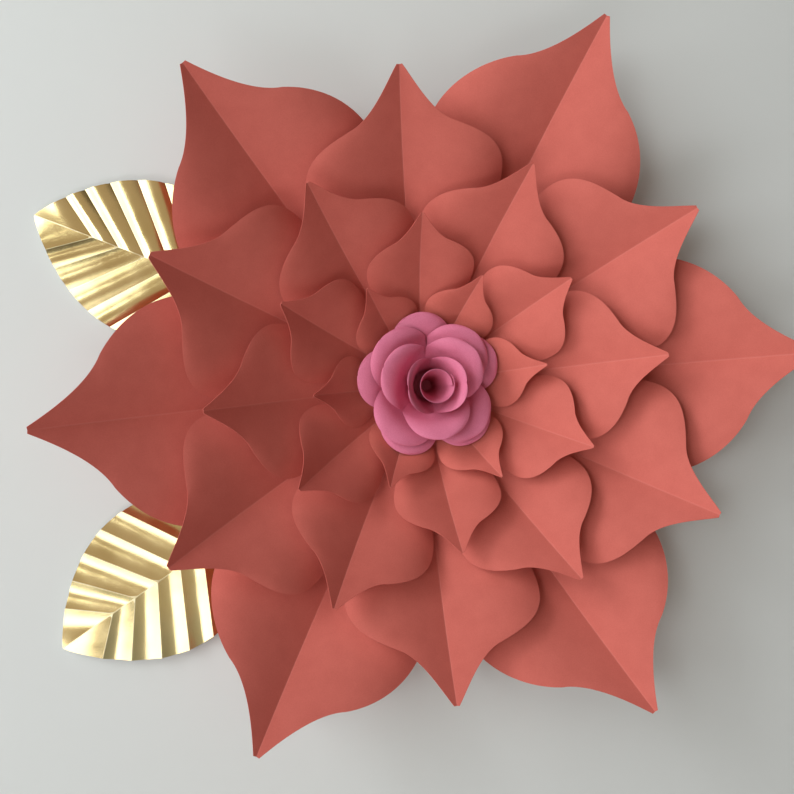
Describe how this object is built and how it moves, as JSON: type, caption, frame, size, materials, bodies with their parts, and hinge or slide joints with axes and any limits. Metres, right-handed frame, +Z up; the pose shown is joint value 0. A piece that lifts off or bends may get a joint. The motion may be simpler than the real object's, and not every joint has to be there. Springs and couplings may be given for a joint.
{
  "type": "giant paper flower",
  "caption": "Wall-hung flower of creased, pointed card petals in layers round a rolled paper rose, with two pleated foil-card leaves at one side.",
  "frame": {"origin": "centre of the base disc's back face, in the plane of the wall", "axes": "+Y into the wall, so the flower faces -Y; +Z up; +X to the right of someone facing the flower"},
  "size_m": [0.6294, 0.0951, 0.5706],
  "materials": {
    "base_board": "plain grey-brown board, matt",
    "coral_card": "smooth coral cardstock, matt",
    "pink_paper": "smooth pink paper, matt",
    "gold_foil_card": "gold foil faced card, satin metallic front"
  },
  "bodies": {
    "root": {"base_disc": "base_board", "outer_petal_1": "coral_card", "outer_petal_2": "coral_card", "outer_petal_3": "coral_card", "outer_petal_4": "coral_card", "outer_petal_5": "coral_card", "outer_petal_6": "coral_card", "second_petal_1": "coral_card", "second_petal_2": "coral_card", "second_petal_3": "coral_card", "second_petal_4": "coral_card", "second_petal_5": "coral_card", "second_petal_6": "coral_card", "third_petal_1": "coral_card", "third_petal_2": "coral_card", "third_petal_3": "coral_card", "third_petal_4": "coral_card", "third_petal_5": "coral_card", "third_petal_6": "coral_card", "fourth_petal_1": "coral_card", "fourth_petal_2": "coral_card", "fourth_petal_3": "coral_card", "fourth_petal_4": "coral_card", "fourth_petal_5": "coral_card", "fourth_petal_6": "coral_card", "inner_petal_1": "coral_card", "inner_petal_2": "coral_card", "inner_petal_3": "coral_card", "inner_petal_4": "coral_card", "inner_petal_5": "coral_card", "inner_petal_6": "coral_card", "rose_ring_outer": "pink_paper", "rose_ring_second": "pink_paper", "rose_ring_third": "pink_paper", "rose_ring_inner": "pink_paper", "rose_bud": "pink_paper", "leaf_upper": "gold_foil_card", "leaf_lower": "gold_foil_card"}
  },
  "joints": []
}
